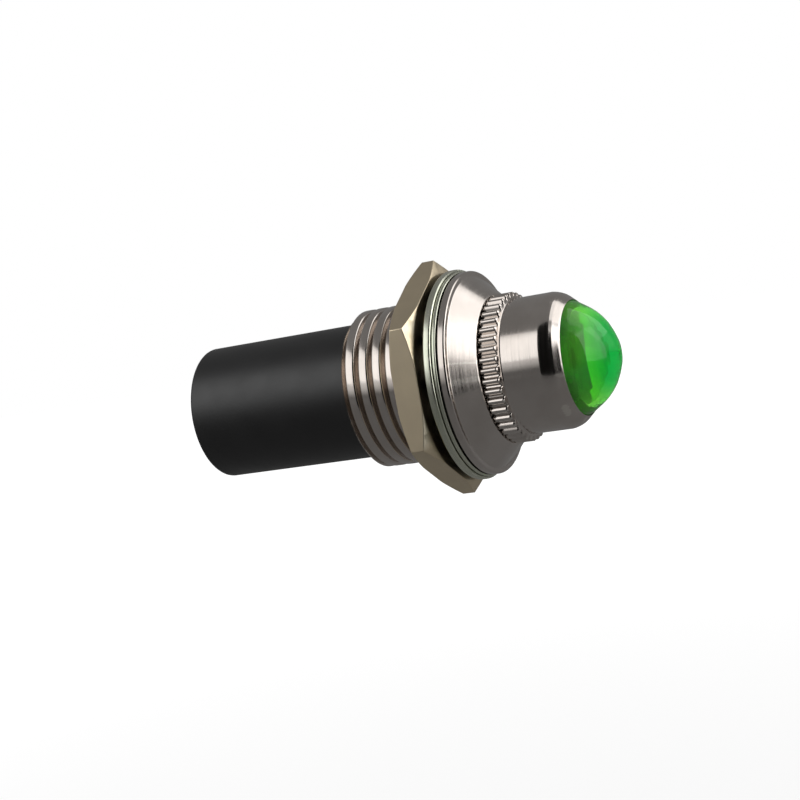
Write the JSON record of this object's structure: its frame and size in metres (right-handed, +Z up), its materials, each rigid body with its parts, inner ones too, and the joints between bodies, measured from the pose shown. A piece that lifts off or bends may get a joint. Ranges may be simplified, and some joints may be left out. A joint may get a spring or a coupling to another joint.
{
  "type": "panel pilot light",
  "caption": "Round panel pilot light with a green domed lens in a knurled screw cap, a chamfered flange, washers and hex nut on a threaded bushing, and a black body tube.",
  "frame": {"origin": "on the lamp axis in the plane of the seat, the rear face of the flange that goes against the panel", "axes": "-Y is forward, out of the panel along the lamp axis towards the lens; +Y is back into the panel; +Z is up, with a corner of the hex nut on it; +X is to the right of somebody who looks at the lens"},
  "size_m": [0.0228, 0.0483, 0.0256],
  "materials": {
    "nickel_plate": "bright nickel plate on brass",
    "nut_plate": "satin champagne-toned plate",
    "zinc_plate": "satin yellowish zinc plate",
    "green_lens": "transparent green, polished",
    "clear_glass": "clear, polished",
    "black_moulding": "satin black phenolic moulding",
    "dark_insulator": "dark brown laminate",
    "seal_rubber": "matt black",
    "spring_steel": "drawn wire",
    "brass_contact": "tinned in places",
    "solder": "soft solder",
    "lamp_wire": "drawn wire"
  },
  "bodies": {
    "housing": {"bushing": "nickel_plate", "cap_seal": "seal_rubber", "panel_gasket": "seal_rubber", "body_tube": "black_moulding", "socket_shell": "nickel_plate", "terminal_plate": "dark_insulator", "centre_terminal": "brass_contact", "centre_rivet": "brass_contact", "retaining_ring": "spring_steel", "contact_spring": "spring_steel"},
    "gasket": {"lens_gasket": "seal_rubber"},
    "cap": {"lens_cap": "nickel_plate", "lens": "green_lens", "lens_retainer": "nickel_plate"},
    "washers": {"flat_washer": "zinc_plate", "lock_washer": "zinc_plate"},
    "nut": {"hex_nut": "nut_plate"},
    "lamp": {"glass_bulb": "clear_glass", "filament_mount": "lamp_wire", "lamp_base": "nickel_plate", "base_insulator": "dark_insulator", "lamp_contact": "solder"},
    "contact": {"contact_button": "brass_contact", "contact_disc": "dark_insulator"}
  },
  "joints": [
    {"name": "cap_travel", "type": "slide", "parent": "housing", "child": "gasket", "axis": [0, -1, 0], "range_m": [0, 0.00397]},
    {"name": "cap_turn", "type": "hinge", "parent": "gasket", "child": "cap", "pos_m": [0, -0.006, 0], "axis": [0, -1, 0], "range_deg": [0, 1800]},
    {"name": "washer_travel", "type": "slide", "parent": "housing", "child": "washers", "axis": [0, 1, 0], "range_m": [0, 0.00714]},
    {"name": "nut_turn", "type": "hinge", "parent": "washers", "child": "nut", "pos_m": [0, 0.0038, 0], "axis": [0, 1, 0], "range_deg": [0, 1620]},
    {"name": "lamp_push", "type": "slide", "parent": "housing", "child": "lamp", "axis": [0, 1, 0], "range_m": [0, 0.001], "stiffness_N_per_m": 1200, "springref_m": -0.003, "deforming": ["contact_spring"]},
    {"name": "contact_travel", "type": "slide", "parent": "housing", "child": "contact", "axis": [0, 1, 0], "range_m": [0, 0.001]}
  ],
  "couplings": [
    {"joint": "cap_turn", "follows": "cap_travel", "rad_per_m": 7915.8},
    {"joint": "nut_turn", "follows": "washer_travel", "rad_per_m": 3957.9},
    {"joint": "contact_travel", "follows": "lamp_push", "ratio": 1}
  ]
}
